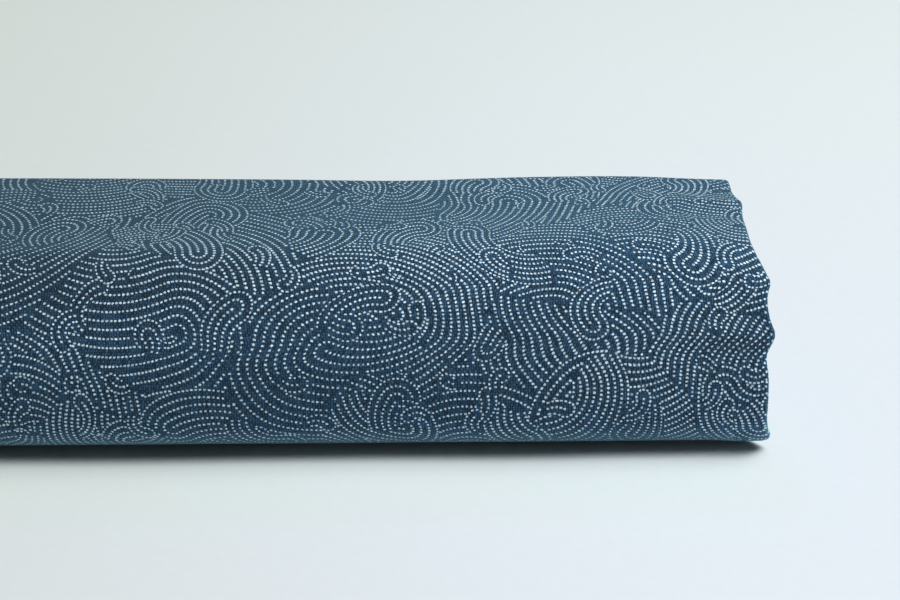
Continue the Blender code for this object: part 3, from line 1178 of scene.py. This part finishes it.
# The light's colours, the place and size of each lamp and where all of them face
SKY_COLOUR = (0.95, 1.0, 0.93, 1.0)
LAMP_COLOUR = (0.925, 0.975, 1.0)
LAMP_AIM = (0.08, 0.0, 0.0)
Lamp = namedtuple("Lamp", "name place size")
LAMPS = (
    Lamp("soft_window", (0.78, -0.40, 1.55), (0.70, 0.80)),
    Lamp("wide_ceiling", (0.68, 0.12, 1.40), (0.90, 1.55)),
    Lamp("pale_card", (0.30, -1.50, 0.35), (1.0, 0.4)),
)
CAMERA_AIM = (0.08629, -0.0192, 0.02742)


def facing(place, aim):
    """The matrix of a lamp or a camera that stands at a place and looks at an aim."""
    turn = (aim - place).to_track_quat("-Z", "Y").to_matrix().to_4x4()
    return Matrix.Translation(place) @ turn


class CLOTH_OT_table_and_light(Operator):
    """Set out the table, the soft light and the camera"""

    bl_idname = "cloth.table_and_light"
    bl_label = "Table and light"

    def execute(self, context):
        look = context.scene.cloth_stage
        self.table(context, look)
        self.light(context, look)
        self.camera(context, look)
        return {"FINISHED"}

    def table(self, context, look):
        """A wide flat table top, just under the cloth."""
        side = np.array([(-1, -1, 0), (1, -1, 0), (1, 1, 0), (-1, 1, 0)])
        vertices = side * TABLE_REACH + np.array([0, 0, LOW.z - TABLE_GAP])
        mesh = quad_mesh("table", vertices, np.array([[0, 1, 2, 3]]))
        table = bpy.data.objects.new("table", mesh)
        context.scene.collection.objects.link(table)
        mesh.materials.append(self.table_top(look))

    def table_top(self, look):
        """Pale grained board, with painted shade to the left, painted light towards the back and a painted
        shadow tint before the cloth.
        """
        material = bpy.data.materials.new("table_top")
        graph = Graph(material)
        place = graph.node("ShaderNodeTexCoord")["Object"]
        east, north, _ = graph.parts(place)
        # Painted shade: the board darker and warmer to the left
        left = graph.smooth(east + graph.noise(place, 9.0, 4.0)[0] * 0.02, 0.16, -0.10)
        dim = tuple(channel * factor for channel, factor in zip(look.table, LEFT_PAINTED_SHADE))
        colour = graph.mix(left, opaque(look.table), opaque(dim))
        # Painted light: the board lighter and warmer towards the back
        colour = graph.mix(graph.smooth(north, -0.05, 0.30) * 0.5, colour, BACK_PAINTED_LIGHT)
        # Painted shadow tint: the board a little greener in the shade just in front of the cloth
        near_cloth = graph.smooth(north, -0.052, -0.034) * graph.smooth(north, 0.0, -0.01)
        near_cloth = near_cloth * graph.smooth(east, 0.150, 0.136)
        colour = graph.mix(near_cloth, colour, graph.vector("MULTIPLY", colour, NEAR_PAINTED_SHADOW))
        grain = 1.0 + (graph.noise(place, 420.0, 4.0, 0.7)[0] - 0.5) * 0.05
        graph.surface(graph.node(
            "ShaderNodeBsdfPrincipled", None,
            {"Base Color": graph.scaled(colour, grain), "Roughness": 0.7, "Specular IOR Level": 0.2},
        ))
        return material

    def light(self, context, look):
        """A weak even sky, two soft lights above to the right, and a weak one from the front."""
        world = bpy.data.worlds.new("soft_sky")
        context.scene.world = world
        world.use_nodes = True
        background = world.node_tree.nodes["Background"]
        background.inputs["Color"].default_value = SKY_COLOUR
        background.inputs["Strength"].default_value = look.sky
        for lamp, power in zip(LAMPS, (look.window, look.ceiling, look.card)):
            data = bpy.data.lights.new(lamp.name, "AREA")
            data.shape = "RECTANGLE"
            data.size, data.size_y = lamp.size
            data.energy = power
            data.color = LAMP_COLOUR
            light = bpy.data.objects.new(lamp.name, data)
            context.scene.collection.objects.link(light)
            light.matrix_world = facing(Vector(lamp.place), Vector(LAMP_AIM))

    def camera(self, context, look):
        """A camera at the photograph's angle, which looks down along the pack's depth."""
        lens = bpy.data.cameras.new("camera")
        lens.sensor_width = 36.0
        lens.lens = look.lens
        lens.clip_start, lens.clip_end = 0.01, 20.0
        camera = bpy.data.objects.new("camera", lens)
        context.scene.collection.objects.link(camera)
        aim = Vector(CAMERA_AIM)
        level = math.cos(look.elevation)
        back = Vector(
            (math.sin(look.heading) * level, -math.cos(look.heading) * level, math.sin(look.elevation))
        )
        roll = Matrix.Rotation(look.roll, 4, "Z")
        camera.matrix_world = facing(aim + back * look.distance, aim) @ roll
        context.scene.camera = camera
        context.scene.view_settings.view_transform = "Standard"


class CLOTH_PT_pack(Panel):
    """Lists the steps that build the pack"""

    bl_idname = "CLOTH_PT_pack"
    bl_label = "Folded cotton"
    bl_space_type = "VIEW_3D"
    bl_region_type = "UI"
    bl_category = "Cloth"

    def draw(self, context):
        layout = self.layout
        for group in (context.scene.cloth_sizes, context.scene.cloth_print, context.scene.cloth_stage):
            for name in group.__annotations__:
                layout.prop(group, name)
        layout.operator(CLOTH_OT_folded_length.bl_idname)
        layout.operator(CLOTH_OT_table_and_light.bl_idname)


CLASSES = (ClothSizes, PrintLook, StageLook, CLOTH_OT_folded_length, CLOTH_OT_table_and_light, CLOTH_PT_pack)


def register():
    for cls in CLASSES:
        bpy.utils.register_class(cls)
    bpy.types.Scene.cloth_sizes = PointerProperty(type=ClothSizes)
    bpy.types.Scene.cloth_print = PointerProperty(type=PrintLook)
    bpy.types.Scene.cloth_stage = PointerProperty(type=StageLook)


def unregister():
    del bpy.types.Scene.cloth_stage
    del bpy.types.Scene.cloth_print
    del bpy.types.Scene.cloth_sizes
    for cls in reversed(CLASSES):
        bpy.utils.unregister_class(cls)


def main():
    """Registers the add-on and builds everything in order."""
    register()
    bpy.ops.cloth.table_and_light()
    bpy.ops.cloth.folded_length()


if __name__ == "__main__":
    main()
